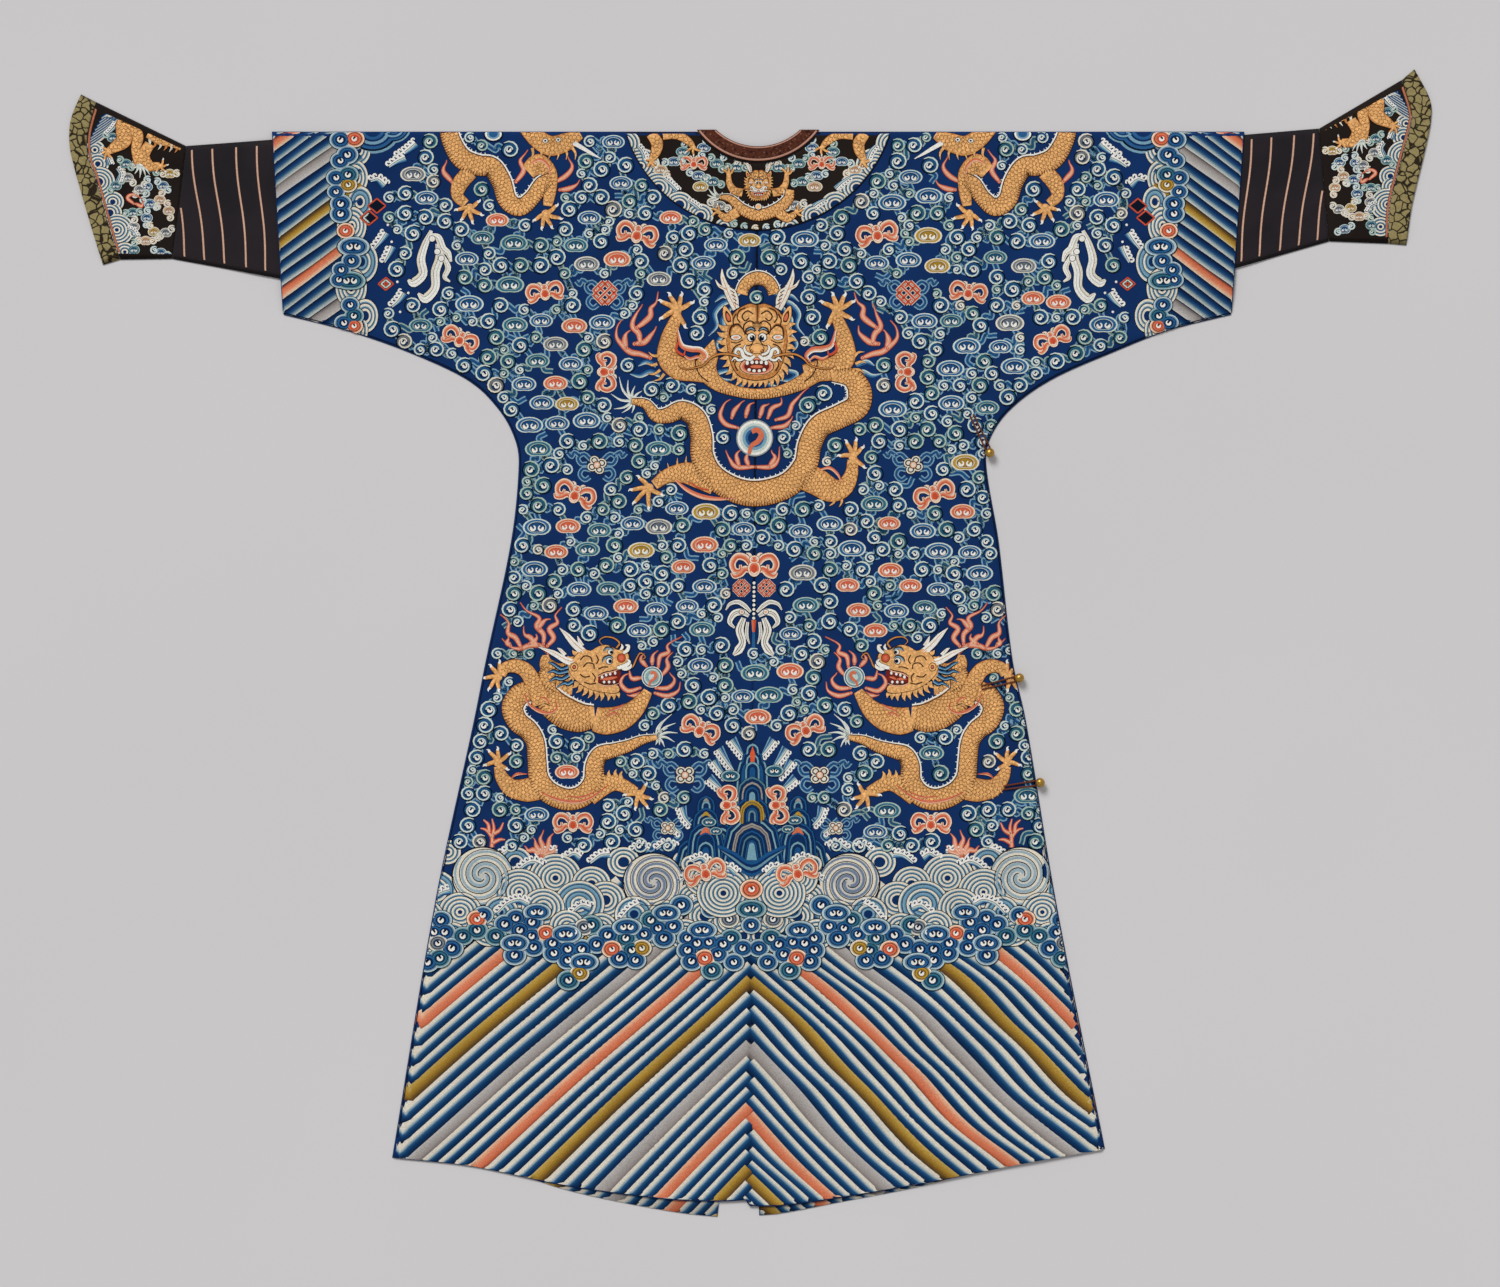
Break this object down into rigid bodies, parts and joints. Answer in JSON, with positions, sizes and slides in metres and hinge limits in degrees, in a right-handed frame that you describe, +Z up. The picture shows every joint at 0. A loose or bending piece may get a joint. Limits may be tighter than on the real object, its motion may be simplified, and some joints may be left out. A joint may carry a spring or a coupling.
{
  "type": "dragon robe laid flat",
  "caption": "Long robe with flared sleeve cuffs, a round yoke, a side closing with ball buttons, and a slit hem, laid flat with its back upwards.",
  "frame": {"origin": "centre of the bounding box at the surface the robe lies on", "axes": "+Z up out of the surface, +Y from the hem towards the collar, +X towards the wearer's right sleeve"},
  "size_m": [1.7971, 1.5143, 0.0168],
  "materials": {
    "blue_silk": "ribbed silk, soft sheen, embroidered",
    "dark_silk": "dark embroidered silk",
    "neckband_silk": "dark red-brown silk band",
    "sleeve_silk": "plain dark silk with fine ribs",
    "gold_brocade": "metal-thread brocade",
    "button_brass": "worn gilt brass",
    "loop_cord": "silk cord"
  },
  "bodies": {
    "root": {"back_left": "blue_silk", "back_right": "blue_silk", "front_left": "blue_silk", "front_overlap": "blue_silk", "underlap": "blue_silk", "yoke_back": "dark_silk", "neckband_back": "neckband_silk", "neckband_front": "neckband_silk", "inner_sleeve_left": "sleeve_silk", "inner_sleeve_right": "sleeve_silk", "cuff_left": "dark_silk", "cuff_right": "dark_silk", "cuff_border_left": "gold_brocade", "cuff_border_right": "gold_brocade", "button_underarm": "button_brass", "button_waist": "button_brass", "button_hip": "button_brass", "loop_underarm": "loop_cord", "loop_waist": "loop_cord", "loop_hip": "loop_cord"}
  },
  "joints": []
}
